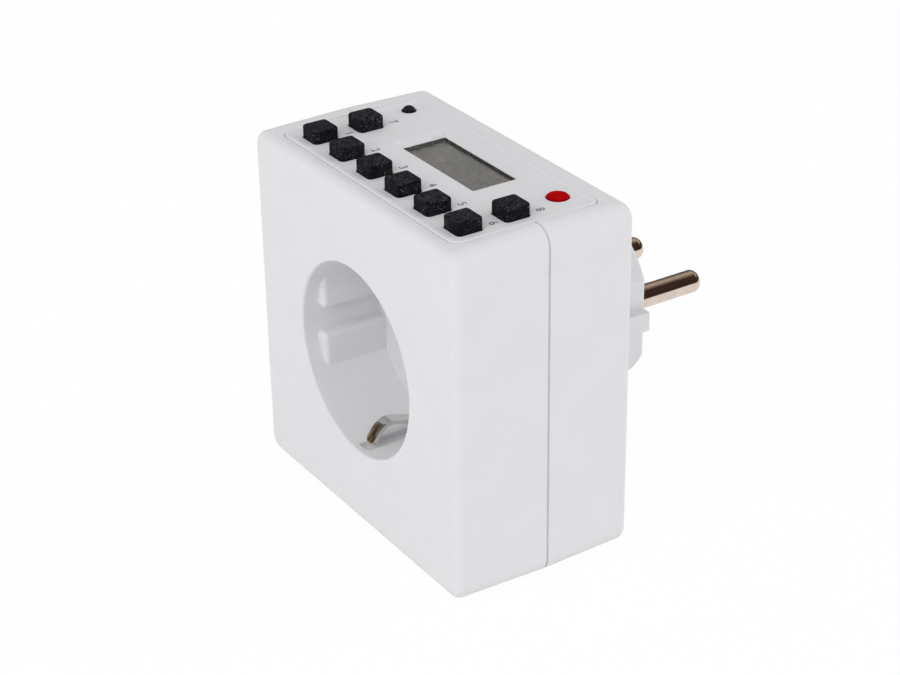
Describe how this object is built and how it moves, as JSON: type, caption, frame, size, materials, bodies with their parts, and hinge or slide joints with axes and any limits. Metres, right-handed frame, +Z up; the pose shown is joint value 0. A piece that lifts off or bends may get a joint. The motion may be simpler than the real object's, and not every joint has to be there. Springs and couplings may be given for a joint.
{
  "type": "plug-in timer",
  "caption": "Plug-in digital timer: square white case with an earthed socket recess in front, a two-pin plug behind, and a display, black keys and an indicator on top.",
  "frame": {"origin": "centre of the bounding box, at the height of the case's underside", "axes": "+Y from the socket face to the plug pins, +Z up to the control panel, +X to the right when the socket face is looked at"},
  "size_m": [0.073, 0.0764, 0.0755],
  "materials": {
    "case_white": "fine spark-eroded texture",
    "panel_white": "fine texture",
    "screw_steel": "zinc plated",
    "window_clear": "clear, polished",
    "display_glass": "grey display, switched off",
    "frame_black": "moulded",
    "mat_rubber": "matte",
    "key_rubber": "matte, slightly rough",
    "lens_red": "polished, translucent",
    "led_clear": "clear",
    "board_green": "solder mask",
    "chip_black": "moulded",
    "bright_can": "bright can",
    "cable_grey": "flat cable",
    "relay_blue": "moulded",
    "copper_wire": "enamelled wire",
    "relay_iron": "plated iron",
    "brass_strip": "stamped strip",
    "capacitor_yellow": "moulded box",
    "varistor_blue": "dipped",
    "capacitor_sleeve": "shrink sleeve",
    "resistor_tan": "lacquered",
    "shutter_white": "moulded",
    "spring_steel": "spring strip",
    "carrier_grey": "moulded",
    "pin_nickel": "nickel plated, satin",
    "earth_brass": "nickel plated brass",
    "wire_cover": "insulated wire"
  },
  "bodies": {
    "timer_case": {"front_shell": "case_white", "rear_shell": "case_white", "control_panel": "panel_white", "case_screws": "screw_steel", "display_window": "window_clear", "lcd_panel": "display_glass", "lcd_frame": "frame_black", "zebra_strip": "mat_rubber", "keypad_mat": "mat_rubber", "reset_button_web": "mat_rubber", "indicator_lens": "lens_red", "indicator_led": "led_clear", "control_board": "board_green", "power_board": "board_green", "controller_chip": "chip_black", "clock_crystal": "bright_can", "backup_battery": "bright_can", "board_cable": "cable_grey", "relay_cover": "relay_blue", "relay_winding": "copper_wire", "relay_base": "frame_black", "relay_yoke": "relay_iron", "relay_fixed_contact": "brass_strip", "film_capacitor": "capacitor_yellow", "varistor": "varistor_blue", "smoothing_capacitors": "capacitor_sleeve", "thermal_fuse": "bright_can", "rectifier_diodes": "chip_black", "resistors": "resistor_tan", "relay_transistor": "chip_black", "shutter_spring": "spring_steel", "contact_carrier": "carrier_grey", "board_screws": "screw_steel", "live_contact": "brass_strip", "neutral_contact": "brass_strip", "plug_pin_live": "pin_nickel", "plug_pin_neutral": "pin_nickel", "earth_bracket": "earth_brass", "plug_earth_contacts": "earth_brass", "earth_rivets": "screw_steel", "supply_wires": "wire_cover", "clock_key_web": "mat_rubber", "timer_key_web": "mat_rubber", "mode_key_web": "mat_rubber", "week_key_web": "mat_rubber", "hour_key_web": "mat_rubber", "minute_key_web": "mat_rubber", "random_key_web": "mat_rubber", "recall_key_web": "mat_rubber"},
    "clock_key_cap": {"clock_key": "key_rubber"},
    "timer_key_cap": {"timer_key": "key_rubber"},
    "mode_key_cap": {"mode_key": "key_rubber"},
    "week_key_cap": {"week_key": "key_rubber"},
    "hour_key_cap": {"hour_key": "key_rubber"},
    "minute_key_cap": {"minute_key": "key_rubber"},
    "random_key_cap": {"random_key": "key_rubber"},
    "recall_key_cap": {"recall_key": "key_rubber"},
    "reset_cap": {"reset_button": "key_rubber"},
    "shutter": {"safety_shutter": "shutter_white"},
    "armature": {"relay_armature": "relay_iron"}
  },
  "joints": [
    {"name": "clock_key_press", "type": "slide", "parent": "timer_case", "child": "clock_key_cap", "axis": [0, 0, -1], "range_m": [0, 0.001], "stiffness_N_per_m": 400, "springref_m": -0.0008, "deforming": ["clock_key_web"]},
    {"name": "timer_key_press", "type": "slide", "parent": "timer_case", "child": "timer_key_cap", "axis": [0, 0, -1], "range_m": [0, 0.001], "stiffness_N_per_m": 400, "springref_m": -0.0008, "deforming": ["timer_key_web"]},
    {"name": "mode_key_press", "type": "slide", "parent": "timer_case", "child": "mode_key_cap", "axis": [0, 0, -1], "range_m": [0, 0.001], "stiffness_N_per_m": 400, "springref_m": -0.0008, "deforming": ["mode_key_web"]},
    {"name": "week_key_press", "type": "slide", "parent": "timer_case", "child": "week_key_cap", "axis": [0, 0, -1], "range_m": [0, 0.001], "stiffness_N_per_m": 400, "springref_m": -0.0008, "deforming": ["week_key_web"]},
    {"name": "hour_key_press", "type": "slide", "parent": "timer_case", "child": "hour_key_cap", "axis": [0, 0, -1], "range_m": [0, 0.001], "stiffness_N_per_m": 400, "springref_m": -0.0008, "deforming": ["hour_key_web"]},
    {"name": "minute_key_press", "type": "slide", "parent": "timer_case", "child": "minute_key_cap", "axis": [0, 0, -1], "range_m": [0, 0.001], "stiffness_N_per_m": 400, "springref_m": -0.0008, "deforming": ["minute_key_web"]},
    {"name": "random_key_press", "type": "slide", "parent": "timer_case", "child": "random_key_cap", "axis": [0, 0, -1], "range_m": [0, 0.001], "stiffness_N_per_m": 400, "springref_m": -0.0008, "deforming": ["random_key_web"]},
    {"name": "recall_key_press", "type": "slide", "parent": "timer_case", "child": "recall_key_cap", "axis": [0, 0, -1], "range_m": [0, 0.001], "stiffness_N_per_m": 400, "springref_m": -0.0008, "deforming": ["recall_key_web"]},
    {"name": "reset_press", "type": "slide", "parent": "timer_case", "child": "reset_cap", "axis": [0, 0, -1], "range_m": [0, 0.0006], "stiffness_N_per_m": 500, "springref_m": -0.0006, "deforming": ["reset_button_web"]},
    {"name": "shutter_drop", "type": "slide", "parent": "timer_case", "child": "shutter", "axis": [0, 0, -1], "range_m": [0, 0.0066], "stiffness_N_per_m": 100, "springref_m": -0.004, "deforming": ["shutter_spring"]},
    {"name": "armature_swing", "type": "hinge", "parent": "timer_case", "child": "armature", "pos_m": [-0.0014, -0.02865, 0.0086], "axis": [0, 0, 1], "range_deg": [0, 6], "stiffness_Nm_per_rad": 0.02, "springref_deg": -8.59}
  ]
}
